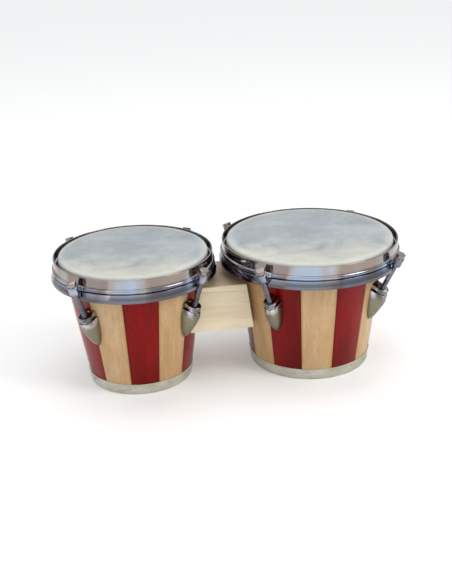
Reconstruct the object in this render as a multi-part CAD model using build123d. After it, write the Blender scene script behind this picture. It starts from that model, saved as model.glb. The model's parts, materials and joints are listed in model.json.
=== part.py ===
from build123d import *
import os
from math import atan2, cos, degrees, radians, sin, sqrt, tan

os.makedirs("parts", exist_ok=True)

# A pair of stave-built bongo drums joined by a wooden centre block.
# Millimetres and degrees. +Z is up, the drums stand on Z = 0, and +X runs from the small drum
# to the large one. The origin is on the floor, under the middle of the pair's outline.

# ---- Driving dimensions shared by both drums -------------------------------------------------
AXIS_SPACING = 212.0     # between the two drum axes
SHELL_HEIGHT = 157.0     # floor to the bearing edge
WALL = 10.0              # stave thickness, measured level
FLARE_START = 125.0      # the straight taper ends here and the shell flares to its mouth
EDGE_ROUND = 3.0         # rounding on the outside of the bearing edge
EDGE_FLAT = 1.5          # level land on top of the bearing edge
EDGE_DEPTH = 6.0         # depth of the slope inside the bearing edge
MOUTH_INSET = 6.5        # from the rim's outside to the shell's mouth

SKIN = 0.8               # rawhide thickness
SKIN_END = 131.5         # lower end of the skin's collar, which hangs straight from the bearing edge
SKIN_SLIP = 0.3          # room between the collar and the tuck that slides past it

RIM_TOP = 157.0          # top edge of the rim
RIM_WALL = 1.5
WIRE = 5.7               # diameter of the round wire in the groove round the rim
WIRE_INSET = 0.6         # from the upper band's outside in to the middle of the wire
WIRE_DROP = 13.4         # rim's top edge to the middle of the wire
WIRE_ROOM = 0.05         # between the wire and its groove
SKIRT_STEP = 4.0         # from the upper band's outside to the skirt's outside
SHOULDER = (1.7, 140.3)  # the ledge under the wire: its reach beyond the upper band, and its height
SKIRT_TURN = 134.5       # height where the flared part meets the skirt's outside
RIM_DEPTH = 26.3         # rim's top edge to the skirt's lower edge
SLOT_WIDTH = 10.4        # notches in the skirt that the tuning bolts pass through
SLOT_TOP = 140.75
HOOP_ROD = 4.0           # flesh hoop rod diameter
HOOP_CONTACT_GAP = 0.02  # between the lapped skin and the rim that presses on it

BOLT = 6.35              # tuning bolt shank diameter
BOLT_HOOP_GAP = 1.6      # level gap from the lapped skin to the shank, which closes as the rim goes down
BOLT_END = 87.0          # height of the bolt's lower end
HEX_ACROSS_FLATS = 9.5
HEX_HEIGHT = 5.2
WASHER_OUTSIDE = 12.0
WASHER_THICKNESS = 1.2
EAR_OUTSIDE = 12.0
EAR_BORE = 9.0           # loose, so that the slanting bolt can drift as the rim goes down
EAR_LOW = 138.5          # height of the ear's lower face on its own axis
EAR_LENGTH = 10.0
RUNNING_CLEARANCE = 0.05

LUG_COUNT = 4
COLLAR_HEIGHT = 105.0    # height of the lug's collar on the bolt's axis
COLLAR_STAND_OFF = 10.4  # shell to the bolt's axis at the collar
COLLAR_OUTSIDE = 15.5
NOSE_OUTSIDE = 17.0
NOSE_LENGTH = 25.0
NOSE_TOP = 3.0           # collar's upper face above the collar's middle
PLATE_THICKNESS = 3.2
PLATE_TOP = 113.0
PLATE_TIP = 63.5
PLATE_WIDTH = 21.0
NUT_SIDE = 10.5
NUT_THICKNESS = 8.0
NUT_DEPTH = 13.0         # collar's top to the middle of the nut
LUG_SCREW_HEIGHTS = (74.0, 109.0)
LUG_SCREW = 4.8
LUG_SCREW_GRIP = 4.6     # how far the screw reaches into the casting

BAND_HEIGHT = 13.5
BAND_THICKNESS = 0.8
BAND_LAP_ANGLE = 14.0
NAIL_COUNT = 8
NAIL_HEIGHT = 10.0
NAIL_HEAD = 3.2
NAIL_SHANK = 1.4
NAIL_LENGTH = 7.0

BLOCK_BOTTOM = 62.2
BLOCK_TOP = 118.2
BLOCK_DEPTH = 82.0
CAP_AT_SMALL_AXIS = 2.9  # the cap board gets thicker towards the large drum
CAP_AT_LARGE_AXIS = 12.5 # both measured where the board would meet the drum's axis
BLOCK_BEDDING = 0.05     # between the block and the shells
SMALL_END_HOLLOW = 1.08  # hollow of the block's ends, as a multiple of the shell's radius
LARGE_END_HOLLOW = 5.0
BLOCK_BOLT = 6.0
BLOCK_BOLT_HEIGHTS = (76.0, 101.0)
BLOCK_BOLT_LENGTH = 34.0
INSERT_OUTSIDE = 11.0
INSERT_LENGTH = 16.0
INSERT_DEPTH = 1.0       # from the shell's outside to the insert
PLATE_ANGLE = 26.0       # the clamp plate inside the shell, about the drum's axis
PLATE_METAL = 2.5


class Drum:
    """One drum's own sizes. Angles are about its axis, from +X towards +Y."""

    def __init__(self, name, rim, foot, waist, staves, red_when_odd, block_angle, lug_turn, lap_angle):
        self.name = name
        self.rim = rim                    # outside radius of the rim's upper band
        self.foot = foot                  # outside radius of the shell at the floor
        self.waist = waist                # outside radius where the flare starts
        self.mouth = rim - MOUTH_INSET
        self.staves = staves
        self.red_when_odd = red_when_odd  # counting staves round from the one behind the block
        self.block_angle = block_angle
        self.lug_angles = [lug_turn - 135 + 90 * i for i in range(LUG_COUNT)]
        self.lap_angle = lap_angle
        self.taper = (waist - foot) / FLARE_START
        self.wire_radius = rim - WIRE_INSET
        wrap = HOOP_ROD / 2 + SKIN        # radius of the flesh hoop's rod in its skin
        self.hoop_radius = self.mouth + SKIN + SKIN_SLIP + wrap
        contact = WIRE / 2 + WIRE_ROOM + RIM_WALL + HOOP_CONTACT_GAP + wrap
        sideways = self.wire_radius - self.hoop_radius
        self.hoop_height = RIM_TOP - WIRE_DROP - sqrt(contact ** 2 - sideways ** 2)
        self.collar_radius = self.outside(COLLAR_HEIGHT) + COLLAR_STAND_OFF
        pass_radius = self.hoop_radius + wrap + BOLT_HOOP_GAP + BOLT / 2
        rise = self.hoop_height - COLLAR_HEIGHT
        self.slant = degrees(atan2(pass_radius - self.collar_radius, rise))

    def outside(self, height):
        """Outside radius of the straight part of the shell."""
        return self.foot + self.taper * height

    def bolt_radius(self, height):
        """Radius of the bolt's axis at a height."""
        return self.collar_radius + (height - COLLAR_HEIGHT) * tan(radians(self.slant))

    def bolt_plane(self, height):
        """Plane across the bolt's axis, its Z along the axis towards the head."""
        along = (sin(radians(self.slant)), 0, cos(radians(self.slant)))
        return Plane(origin=(self.bolt_radius(height), 0, height), x_dir=(0, 1, 0), z_dir=along)

    def wall_plane(self, height):
        """Plane on the shell's outside at a height, its Z square to the wall and outwards."""
        lean = atan2(self.waist - self.foot, FLARE_START)
        normal = (cos(lean), 0, -sin(lean))
        return Plane(origin=(self.outside(height), 0, height), x_dir=(0, 1, 0), z_dir=normal)

    def wall_square(self):
        """Wall thickness measured square to the wall."""
        return WALL * cos(atan2(self.waist - self.foot, FLARE_START))


SMALL = Drum("small", rim=93.0, foot=61.2, waist=79.6, staves=12, red_when_odd=True,
             block_angle=0.0, lug_turn=0.0, lap_angle=-64.0)
LARGE = Drum("large", rim=105.5, foot=72.3, waist=88.0, staves=13, red_when_odd=False,
             block_angle=180.0, lug_turn=3.0, lap_angle=75.0)
SMALL.x = -(AXIS_SPACING + LARGE.rim - SMALL.rim) / 2
LARGE.x = SMALL.x + AXIS_SPACING


# ---- Helpers ---------------------------------------------------------------------------------
def polygon_ring(points, arc=360.0):
    """Solid of revolution about Z from corner points, over an arc that starts at angle 0."""
    outline = Polyline(*points, close=True)
    return revolve(Plane.XZ * make_face(outline), axis=Axis.Z, revolution_arc=arc)


def around(part, angles):
    """Copies of a part turned about Z."""
    return [Rot(0, 0, angle) * part for angle in angles]


def bar(plane, radius, start, end):
    """Cylinder along a plane's Z axis, from start to end."""
    upright = (Align.CENTER, Align.CENTER, Align.MIN)
    return plane * Pos(0, 0, start) * Cylinder(radius, end - start, align=upright)


def write(name, pieces, x):
    """One STEP per node, moved to its drum's place."""
    solids = []
    for piece in pieces:
        solids += [Pos(x, 0, 0) * solid for solid in piece.solids()]
    export_step(Compound(children=solids), f"parts/{name}.step")


# ---- Shell -----------------------------------------------------------------------------------
def shell_outline(drum):
    """Half section of the shell wall."""
    land = SHELL_HEIGHT - EDGE_ROUND
    round_mid = EDGE_ROUND * (1 - cos(radians(45)))
    taper = Line((drum.foot, 0), (drum.waist, FLARE_START))
    flare = TangentArc((drum.waist, FLARE_START), (drum.mouth, land),
                       tangent=(drum.waist - drum.foot, FLARE_START))
    edge = ThreePointArc((drum.mouth, land), (drum.mouth - round_mid, SHELL_HEIGHT - round_mid),
                         (drum.mouth - EDGE_ROUND, SHELL_HEIGHT))
    inside = Polyline((drum.mouth - EDGE_ROUND, SHELL_HEIGHT),
                      (drum.mouth - EDGE_ROUND - EDGE_FLAT, SHELL_HEIGHT),
                      (drum.mouth - WALL, SHELL_HEIGHT - EDGE_DEPTH),
                      (drum.waist - WALL, FLARE_START),
                      (drum.foot - WALL, 0),
                      (drum.foot, 0))
    return make_face([taper, flare, edge, inside])


def shell_holes(drum):
    """What is drilled through the staves: lug screws, block bolts and band nails."""
    room = 0.2
    screw_holes = [bar(drum.wall_plane(h), LUG_SCREW / 2 + room, -WALL - 2, 2) for h in LUG_SCREW_HEIGHTS]
    holes = []
    for hole in screw_holes:
        holes += around(hole, drum.lug_angles)
    for height in BLOCK_BOLT_HEIGHTS:
        plane = Plane(origin=(drum.outside(height), 0, height), x_dir=(0, 1, 0), z_dir=(1, 0, 0))
        holes += around(bar(plane, BLOCK_BOLT / 2 + room, -WALL - 4, 4), [drum.block_angle])
    holes += around(bar(drum.wall_plane(NAIL_HEIGHT), NAIL_SHANK / 2, -NAIL_LENGTH, 2), nail_angles(drum))
    return holes


def make_staves(drum):
    """Red and natural staves, counted round from the one behind the block."""
    step = 360.0 / drum.staves
    stave = revolve(Plane.XZ * shell_outline(drum), axis=Axis.Z, revolution_arc=step)
    holes = shell_holes(drum)
    red = []
    natural = []
    for i in range(drum.staves):
        turned = Rot(0, 0, drum.block_angle + (i - 0.5) * step) * stave
        group = red if (i % 2 == 1) == drum.red_when_odd else natural
        group.append(turned - holes)
    return red, natural


# ---- Foot band -------------------------------------------------------------------------------
def nail_angles(drum):
    """Nails all round, starting from the lap in the band."""
    return [drum.lap_angle + i * 360.0 / NAIL_COUNT for i in range(NAIL_COUNT)]


def band_section(drum, inner, outer, low, high):
    """Corner points of a strip that lies on the shell's taper."""
    return [(drum.outside(low) + inner, low), (drum.outside(low) + outer, low),
            (drum.outside(high) + outer, high), (drum.outside(high) + inner, high)]


def make_foot_band(drum):
    """Sheet strip round the foot, with a lapped end that is cut on a slant."""
    band = polygon_ring(band_section(drum, 0, BAND_THICKNESS, 0, BAND_HEIGHT))
    low = 0.6
    high = BAND_HEIGHT - 0.3
    lap = polygon_ring(band_section(drum, BAND_THICKNESS, 1.7 * BAND_THICKNESS, low, high), BAND_LAP_ANGLE)
    slant_cut = Box(20, 30, 30, align=(Align.CENTER, Align.MAX, Align.CENTER))
    slant_cut = Pos(drum.foot, 2.0, BAND_HEIGHT / 2) * Rot(-30, 0, 0) * slant_cut
    lap = Rot(0, 0, drum.lap_angle) * (lap - slant_cut)
    holes = around(bar(drum.wall_plane(NAIL_HEIGHT), NAIL_SHANK / 2, -3, 6), nail_angles(drum))
    return [(band + lap) - holes]


def make_band_nails(drum):
    """Round-headed tacks. Those through the lap would stand prouder, so all sit on its height."""
    plane = drum.wall_plane(NAIL_HEIGHT)
    seat = 1.75 * BAND_THICKNESS
    shank = bar(plane, NAIL_SHANK / 2, -NAIL_LENGTH + 0.2, seat)
    head = bar(plane, NAIL_HEAD / 2, seat, seat + 0.7)
    return around(shank + head, nail_angles(drum))


# ---- Head ------------------------------------------------------------------------------------
def make_head_skin(drum):
    """Rawhide over the bearing edge, down to where its collar starts."""
    centre = (drum.mouth - EDGE_ROUND, SHELL_HEIGHT - EDGE_ROUND)
    outer = EDGE_ROUND + SKIN
    slope = cos(radians(45))
    top = SHELL_HEIGHT + SKIN
    outline = [
        Line((0, SHELL_HEIGHT), (centre[0], SHELL_HEIGHT)),
        ThreePointArc((centre[0], SHELL_HEIGHT),
                      (centre[0] + EDGE_ROUND * slope, centre[1] + EDGE_ROUND * slope),
                      (drum.mouth, centre[1])),
        Line((drum.mouth, centre[1]), (drum.mouth + SKIN, centre[1])),
        ThreePointArc((drum.mouth + SKIN, centre[1]),
                      (centre[0] + outer * slope, centre[1] + outer * slope),
                      (centre[0], top)),
        Polyline((centre[0], top), (0, top), (0, SHELL_HEIGHT)),
    ]
    return [revolve(Plane.XZ * make_face(outline), axis=Axis.Z)]


def make_skin_collar(drum):
    """The same hide where it hangs between the shell and the rim."""
    start = SHELL_HEIGHT - EDGE_ROUND
    return [polygon_ring([(drum.mouth, SKIN_END), (drum.mouth + SKIN, SKIN_END),
                          (drum.mouth + SKIN, start), (drum.mouth, start)])]


def make_flesh_hoop(drum):
    """Steel rod that the skin is lapped round."""
    return [Pos(0, 0, drum.hoop_height) * Torus(drum.hoop_radius, HOOP_ROD / 2)]


def make_skin_tuck(drum):
    """The skin's edge, lapped right round the flesh hoop."""
    wrapped = Torus(drum.hoop_radius, HOOP_ROD / 2 + SKIN) - Torus(drum.hoop_radius, HOOP_ROD / 2)
    return [Pos(0, 0, drum.hoop_height) * wrapped]


# ---- Rim -------------------------------------------------------------------------------------
def rim_section(drum):
    """Sheet section: upper band, a groove for the wire, and a skirt that flares below it."""
    wire_height = RIM_TOP - WIRE_DROP
    inside = drum.rim - RIM_WALL
    skirt = drum.rim + SKIRT_STEP
    skirt_low = RIM_TOP - RIM_DEPTH
    reach, ledge = SHOULDER
    outline = Polyline((inside, RIM_TOP), (drum.rim, RIM_TOP), (drum.rim, ledge + 0.3),
                       (drum.rim + reach, ledge), (skirt, SKIRT_TURN), (skirt, skirt_low),
                       (skirt - RIM_WALL, skirt_low), (skirt - RIM_WALL, SKIRT_TURN - 0.3),
                       (drum.rim + reach - RIM_WALL, ledge - RIM_WALL),
                       (inside, ledge - 1.0), close=True)
    sheet = make_face(outline)
    worn = sheet.vertices().filter_by(lambda v: v.Y > RIM_TOP - 0.1 or v.Y < skirt_low + 0.1)
    sheet = fillet(worn, RIM_WALL * 0.4)
    at_wire = Pos(drum.wire_radius, wire_height)
    groove = at_wire * Circle(WIRE / 2 + WIRE_ROOM)
    wall = at_wire * Circle(WIRE / 2 + WIRE_ROOM + RIM_WALL)
    inner_side = Pos(inside + 0.5, wire_height) * Rectangle(20, 20, align=(Align.MAX, Align.CENTER))
    return sheet + (wall & inner_side) - groove


def make_rim(drum):
    """Pressed counterhoop, its skirt notched where the tuning bolts pass."""
    rim = revolve(Plane.XZ * rim_section(drum), axis=Axis.Z)
    skirt_low = RIM_TOP - RIM_DEPTH
    slot = Box(20, SLOT_WIDTH, SLOT_TOP - skirt_low + 1, align=(Align.MIN, Align.CENTER, Align.MIN))
    slot = Pos(drum.wire_radius, 0, skirt_low - 1) * slot
    return rim - around(slot, drum.lug_angles)


def make_ears(drum, rim):
    """Bored bosses that carry the tuning bolts, each fitted round the wire."""
    plane = drum.bolt_plane(EAR_LOW)
    wire = Pos(0, 0, RIM_TOP - WIRE_DROP) * Torus(drum.wire_radius, WIRE / 2)
    ear = bar(plane, EAR_OUTSIDE / 2, 0, EAR_LENGTH) - bar(plane, EAR_BORE / 2, -5, EAR_LENGTH + 5)
    ear = ear - rim - wire
    outer_piece = ear.solids().sort_by(lambda s: s.volume)[-1]
    return around(outer_piece, drum.lug_angles)


def make_rim_wire(drum):
    """Round wire that the ears are welded to, eased where the bolts pass."""
    wire = Pos(0, 0, RIM_TOP - WIRE_DROP) * Torus(drum.wire_radius, WIRE / 2)
    bore = bar(drum.bolt_plane(EAR_LOW), EAR_BORE / 2, -5, EAR_LENGTH + 5)
    return [wire - around(bore, drum.lug_angles)]


# ---- Tuning bolts ----------------------------------------------------------------------------
def bolt_seat(drum):
    """Distance along the bolt's axis from the ear's lower face to the washer's seat."""
    return EAR_LENGTH + 0.02


def make_washer(drum, angle):
    plane = drum.bolt_plane(EAR_LOW)
    seat = bolt_seat(drum)
    washer = bar(plane, WASHER_OUTSIDE / 2, seat, seat + WASHER_THICKNESS)
    washer -= bar(plane, BOLT / 2 + RUNNING_CLEARANCE, seat - 1, seat + 3)
    return Rot(0, 0, angle) * washer


def make_tuning_bolt(drum, angle):
    """Hex-headed bolt. Its thread is left to the surface finish."""
    plane = drum.bolt_plane(EAR_LOW)
    seat = bolt_seat(drum) + WASHER_THICKNESS + 0.02
    tip = (BOLT_END - EAR_LOW) / cos(radians(drum.slant))
    shank = bar(plane, BOLT / 2, tip, seat)
    hexagon = RegularPolygon(HEX_ACROSS_FLATS / 2, 6, major_radius=False)
    head = plane * Pos(0, 0, seat) * extrude(hexagon, HEX_HEIGHT)
    return Rot(0, 0, angle) * (shank + head)


# ---- Lugs ------------------------------------------------------------------------------------
def leaf_outline():
    """The base plate's outline seen from outside, in sideways distance and height."""
    half = PLATE_WIDTH / 2
    top_half = 6.0
    widest = 95.0
    right = ThreePointArc((0, PLATE_TIP), (half * 0.86, widest - 13), (top_half, PLATE_TOP - 3))
    left = ThreePointArc((-top_half, PLATE_TOP - 3), (-half * 0.86, widest - 13), (0, PLATE_TIP))
    top = ThreePointArc((top_half, PLATE_TOP - 3), (0, PLATE_TOP), (-top_half, PLATE_TOP - 3))
    return make_face([right, top, left])


def shell_core(drum):
    """Everything inside the shell's outer surface, over the lug's height."""
    low = PLATE_TIP - 8
    high = PLATE_TOP + 8
    return polygon_ring([(0, low), (drum.outside(low), low), (drum.outside(high), high), (0, high)])


def make_lug(drum, core):
    """Casting: leaf-shaped plate, hooded nose round the bolt, and a full ridge down to the tip."""
    low = PLATE_TIP - 4
    high = PLATE_TOP + 4
    skin = polygon_ring(band_section(drum, -1, PLATE_THICKNESS, low, high))
    leaf = extrude(Plane.YZ * leaf_outline(), 2 * drum.rim)

    axis = drum.bolt_plane(COLLAR_HEIGHT)
    collar = COLLAR_OUTSIDE / 2
    nose = NOSE_OUTSIDE / 2
    groove = collar - 1.2
    tip = 3.0
    profile = [Polyline((0, NOSE_TOP), (collar - 0.8, NOSE_TOP), (collar, NOSE_TOP - 0.8), (collar, -2.0),
                        (groove, -2.4), (groove, -3.6), (nose - 0.6, -4.4)),
               ThreePointArc((nose - 0.6, -4.4), (nose - 0.9, -13.0), (tip, -NOSE_LENGTH)),
               Polyline((tip, -NOSE_LENGTH), (0, -NOSE_LENGTH), (0, NOSE_TOP))]
    hood = revolve(Plane.XZ * make_face(profile), axis=Axis.Z)
    hood = axis * Rot(0, 0, 90) * hood

    ridge_tip = PLATE_TIP + 5
    ridge = Polyline((drum.outside(ridge_tip) - 2, ridge_tip),
                     (drum.outside(ridge_tip) + PLATE_THICKNESS, ridge_tip),
                     (drum.outside(75) + 8.0, 75),
                     (drum.outside(84) + 12.5, 84),
                     (drum.outside(93) + 15.5, 93),
                     (drum.bolt_radius(100.5) + 2.0, 100.5),
                     (drum.outside(PLATE_TOP - 3) + PLATE_THICKNESS, PLATE_TOP - 3),
                     (drum.outside(PLATE_TOP - 3) - 2, PLATE_TOP - 3), close=True)
    ridge = extrude(Plane.XZ * make_face(ridge), 8.0, both=True)

    cast = (skin & leaf) + (ridge & leaf) + hood - core
    nut_room = 0.1
    bore = bar(axis, BOLT / 2 + 0.45, -NOSE_LENGTH + 0.5, 6)
    pocket_length = 30.0
    pocket = Box(NUT_SIDE + 2 * nut_room, pocket_length, NUT_THICKNESS + 2 * nut_room,
                 align=(Align.CENTER, Align.MIN, Align.CENTER))
    pocket = axis * Pos(0, -NUT_SIDE / 2 - nut_room, NOSE_TOP - NUT_DEPTH) * pocket
    cast = cast - bore - pocket
    for height in LUG_SCREW_HEIGHTS:
        cast -= bar(drum.wall_plane(height), LUG_SCREW / 2, -3, LUG_SCREW_GRIP + 0.3)
    return cast.solids().sort_by(lambda s: s.volume)[-1]


def make_lug_nut(drum):
    """Square nut. It slides into the casting from the back, before the lug goes on the shell."""
    axis = drum.bolt_plane(COLLAR_HEIGHT)
    nut = axis * Pos(0, 0, NOSE_TOP - NUT_DEPTH) * Box(NUT_SIDE, NUT_SIDE, NUT_THICKNESS)
    return nut - bar(axis, BOLT / 2 + RUNNING_CLEARANCE, -NUT_DEPTH - 10, 5)


def make_lug_screws(drum):
    """Pan-headed screws driven from inside the shell."""
    seat = drum.wall_square() + 0.3 + 1.0
    screws = []
    for height in LUG_SCREW_HEIGHTS:
        plane = drum.wall_plane(height)
        screw = bar(plane, LUG_SCREW / 2 - 0.02, -seat, LUG_SCREW_GRIP)
        screw += bar(plane, 4.5, -seat - 3.0, -seat)
        screws += around(screw, drum.lug_angles)
    return screws


def make_lug_washers(drum):
    """Flat washers under the screw heads; their edges rest on the curved wall."""
    wall = drum.wall_square() + 0.3
    washers = []
    for height in LUG_SCREW_HEIGHTS:
        plane = drum.wall_plane(height)
        washer = bar(plane, 5.5, -wall - 1.0, -wall) - bar(plane, LUG_SCREW / 2 + 0.2, -20, 0)
        washers += around(washer, drum.lug_angles)
    return washers


# ---- Block -----------------------------------------------------------------------------------
def end_hollow(drum, side, flatness):
    """What is cut from the block's end so that it beds on the shell at mid-depth."""
    circles = []
    for height in (BLOCK_BOTTOM - 5, BLOCK_TOP + 5):
        reach = drum.outside(height) + BLOCK_BEDDING
        radius = flatness * reach
        centre = drum.x + side * (reach - radius)
        circles.append(Pos(centre, 0, height) * Circle(radius))
    return loft(circles)


def bolt_bar(drum, radius, start, end, height):
    """Level cylinder on the line between the drums, by distance from the shell's outside."""
    side = cos(radians(drum.block_angle))
    plane = Plane(origin=(drum.x + side * drum.outside(height), 0, height), x_dir=(0, 1, 0),
                  z_dir=(side, 0, 0))
    return bar(plane, radius, start, end)


def make_block():
    """Block body and cap board, hollowed at both ends. The joint between them runs at a slight slope."""
    joint_left = (SMALL.x, BLOCK_TOP - CAP_AT_SMALL_AXIS)
    joint_right = (LARGE.x, BLOCK_TOP - CAP_AT_LARGE_AXIS)
    low = ((SMALL.x, BLOCK_BOTTOM), (LARGE.x, BLOCK_BOTTOM))
    high = ((SMALL.x, BLOCK_TOP), (LARGE.x, BLOCK_TOP))
    body_side = Polyline(*low, joint_right, joint_left, close=True)
    cap_side = Polyline(*high, joint_right, joint_left, close=True)
    hollows = [end_hollow(SMALL, 1, SMALL_END_HOLLOW), end_hollow(LARGE, -1, LARGE_END_HOLLOW)]
    body = extrude(Plane.XZ * make_face(body_side), BLOCK_DEPTH / 2, both=True) - hollows
    cap = extrude(Plane.XZ * make_face(cap_side), BLOCK_DEPTH / 2, both=True) - hollows
    for drum in (SMALL, LARGE):
        for height in BLOCK_BOLT_HEIGHTS:
            body -= bolt_bar(drum, BLOCK_BOLT / 2 + 0.3, -5, BLOCK_BOLT_LENGTH, height)
            body -= bolt_bar(drum, INSERT_OUTSIDE / 2, -5, INSERT_DEPTH + INSERT_LENGTH, height)
    return body, cap


def make_block_inserts():
    """Threaded inserts in the block's ends, one for each bolt."""
    inserts = []
    for drum in (SMALL, LARGE):
        for height in BLOCK_BOLT_HEIGHTS:
            sleeve = bolt_bar(drum, INSERT_OUTSIDE / 2, INSERT_DEPTH, INSERT_DEPTH + INSERT_LENGTH, height)
            inserts.append(sleeve - bolt_bar(drum, BLOCK_BOLT / 2 + 0.05, -5, 40, height))
    return inserts


def make_block_bolts(drum):
    """Hex bolts from inside the shell, through the clamp plate and into the inserts."""
    bolts = []
    for height in BLOCK_BOLT_HEIGHTS:
        seat = -WALL - PLATE_METAL - 1.9
        bolt = bolt_bar(drum, BLOCK_BOLT / 2, seat, seat + BLOCK_BOLT_LENGTH, height)
        bolt += bolt_bar(drum, 5.2, seat - 4.0, seat, height)
        bolts.append(bolt)
    return bolts


def make_clamp_plate(drum):
    """Curved steel plate that spreads the bolts' pull over the inside of the shell."""
    low = BLOCK_BOLT_HEIGHTS[0] - 13
    high = BLOCK_BOLT_HEIGHTS[1] + 13
    gap = 0.02
    section = band_section(drum, -WALL - gap - PLATE_METAL, -WALL - gap, low, high)
    plate = polygon_ring(section, PLATE_ANGLE)
    plate = Rot(0, 0, drum.block_angle - PLATE_ANGLE / 2) * plate
    plate = Pos(drum.x, 0, 0) * plate
    for height in BLOCK_BOLT_HEIGHTS:
        plate -= bolt_bar(drum, BLOCK_BOLT / 2 + 0.3, -WALL - 10, 0, height)
    return plate


# ---- Everything ------------------------------------------------------------------------------
def write_drum(drum):
    red, natural = make_staves(drum)
    write(f"{drum.name}_red_staves", red, drum.x)
    write(f"{drum.name}_natural_staves", natural, drum.x)
    write(f"{drum.name}_foot_band", make_foot_band(drum), drum.x)
    write(f"{drum.name}_band_nails", make_band_nails(drum), drum.x)
    write(f"{drum.name}_head_skin", make_head_skin(drum), drum.x)
    write(f"{drum.name}_skin_collar", make_skin_collar(drum), drum.x)
    write(f"{drum.name}_skin_tuck", make_skin_tuck(drum), drum.x)
    write(f"{drum.name}_flesh_hoop", make_flesh_hoop(drum), drum.x)

    rim = make_rim(drum)
    write(f"{drum.name}_rim", [rim], drum.x)
    write(f"{drum.name}_ears", make_ears(drum, rim), drum.x)
    write(f"{drum.name}_rim_wire", make_rim_wire(drum), drum.x)
    for number, angle in enumerate(drum.lug_angles, start=1):
        write(f"{drum.name}_tuning_bolt_{number}", [make_tuning_bolt(drum, angle)], drum.x)
        write(f"{drum.name}_bolt_washer_{number}", [make_washer(drum, angle)], drum.x)

    lug = make_lug(drum, shell_core(drum))
    write(f"{drum.name}_lugs", around(lug, drum.lug_angles), drum.x)
    write(f"{drum.name}_lug_nuts", around(make_lug_nut(drum), drum.lug_angles), drum.x)
    write(f"{drum.name}_lug_screws", make_lug_screws(drum), drum.x)
    write(f"{drum.name}_lug_washers", make_lug_washers(drum), drum.x)
    write(f"{drum.name}_block_bolts", make_block_bolts(drum), 0)
    write(f"{drum.name}_clamp_plate", [make_clamp_plate(drum)], 0)


for each_drum in (SMALL, LARGE):
    write_drum(each_drum)
block_body, block_cap = make_block()
write("block_body", [block_body], 0)
write("block_cap", [block_cap], 0)
write("block_inserts", make_block_inserts(), 0)
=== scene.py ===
import json
import random
from math import atan2, copysign, cos, degrees, pi, radians, sin, sqrt, tan, tau

import bmesh
import bpy
from mathutils import Matrix, Vector, noise

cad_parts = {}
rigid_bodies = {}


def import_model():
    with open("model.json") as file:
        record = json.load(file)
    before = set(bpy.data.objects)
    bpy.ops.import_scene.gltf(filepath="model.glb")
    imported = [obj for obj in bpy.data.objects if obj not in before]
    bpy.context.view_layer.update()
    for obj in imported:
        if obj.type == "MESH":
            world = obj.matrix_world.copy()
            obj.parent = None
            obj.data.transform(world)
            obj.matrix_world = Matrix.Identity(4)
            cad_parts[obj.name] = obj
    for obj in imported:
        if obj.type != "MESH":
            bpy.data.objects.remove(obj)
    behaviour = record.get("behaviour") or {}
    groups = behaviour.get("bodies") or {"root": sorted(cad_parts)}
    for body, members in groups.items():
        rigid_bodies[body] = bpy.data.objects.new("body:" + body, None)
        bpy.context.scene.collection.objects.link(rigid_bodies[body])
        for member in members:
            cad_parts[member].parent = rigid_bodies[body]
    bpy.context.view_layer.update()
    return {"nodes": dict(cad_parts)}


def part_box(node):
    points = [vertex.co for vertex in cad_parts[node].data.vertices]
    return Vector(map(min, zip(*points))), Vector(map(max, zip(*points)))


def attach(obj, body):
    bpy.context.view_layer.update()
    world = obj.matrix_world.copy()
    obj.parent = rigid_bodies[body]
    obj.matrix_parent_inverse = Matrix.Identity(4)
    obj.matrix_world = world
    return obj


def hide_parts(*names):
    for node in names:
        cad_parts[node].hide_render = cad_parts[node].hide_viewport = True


# A pair of stave-built bongo drums. Lengths in this file are millimetres in the CAD's frame,
# and become metres where a mesh, a light or the camera is made.
MM = 0.001

for left_over in list(bpy.data.objects):
    bpy.data.objects.remove(left_over)

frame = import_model()

# ---- Sizes that both drums share, as in the CAD ------------------------------------------------
SHELL_HEIGHT = 157.0
WALL = 10.0
FLARE_START = 125.0
EDGE_ROUND = 3.0
EDGE_FLAT = 1.5
EDGE_DEPTH = 6.0
MOUTH_INSET = 6.5
SKIN = 0.8
SKIN_END = 131.5
RIM_TOP = 157.0
RIM_WALL = 1.5
WIRE = 5.7
WIRE_INSET = 0.6
WIRE_HEIGHT = 143.6
WIRE_ROOM = 0.05
LEDGE = 140.3              # the step under the wire, where the skirt starts to flare
LEDGE_REACH = 1.7
SKIRT_STEP = 4.0
SKIRT_TURN = 134.5
SKIRT_LOW = 130.7
SLOT_WIDTH = 10.4
SLOT_TOP = 140.75
BOLT = 6.35
BOLT_STAND_OFF = 4.975     # from the rim's outside to the bolt's axis, at the flesh hoop
HOOP_HEIGHT = 136.66
BOLT_END = 87.0
THREAD_PITCH = 1.27
THREAD_DEPTH = 0.45
THREAD_TOP = 119.0
HEX_ACROSS_FLATS = 9.5
HEX_HEIGHT = 5.2
WASHER_OUTSIDE = 12.0
WASHER_THICKNESS = 1.2
EAR_OUTSIDE = 12.0
EAR_BORE = 9.0
EAR_LOW = 138.5
EAR_LENGTH = 10.0
COLLAR_HEIGHT = 105.0
COLLAR_STAND_OFF = 10.4
COLLAR_OUTSIDE = 15.5
NOSE_OUTSIDE = 17.0
NOSE_TOP = 3.0
COLLAR_LOW = -2.4          # under side of the collar, along the bolt from the collar's middle
GROOVE = -3.9              # top of the hood, measured the same way
HOOD_WIDTH = 18.0
LUG_BORE_ROOM = 0.45       # between the bolt and the lug's bore
LUG_TIP = 63.5
LUG_SCREW_HEIGHTS = (74.0, 109.0)
LUG_SCREW = 4.8
BAND_HEIGHT = 13.5
BAND_THICKNESS = 0.8
BAND_LAP_ANGLE = 14.0
NAIL_COUNT = 8
NAIL_HEIGHT = 10.0
BLOCK_BOLT_HEIGHTS = (76.0, 101.0)
PLATE_METAL = 2.5

RINGS = 224                # steps round a drum
SEED = 11


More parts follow.
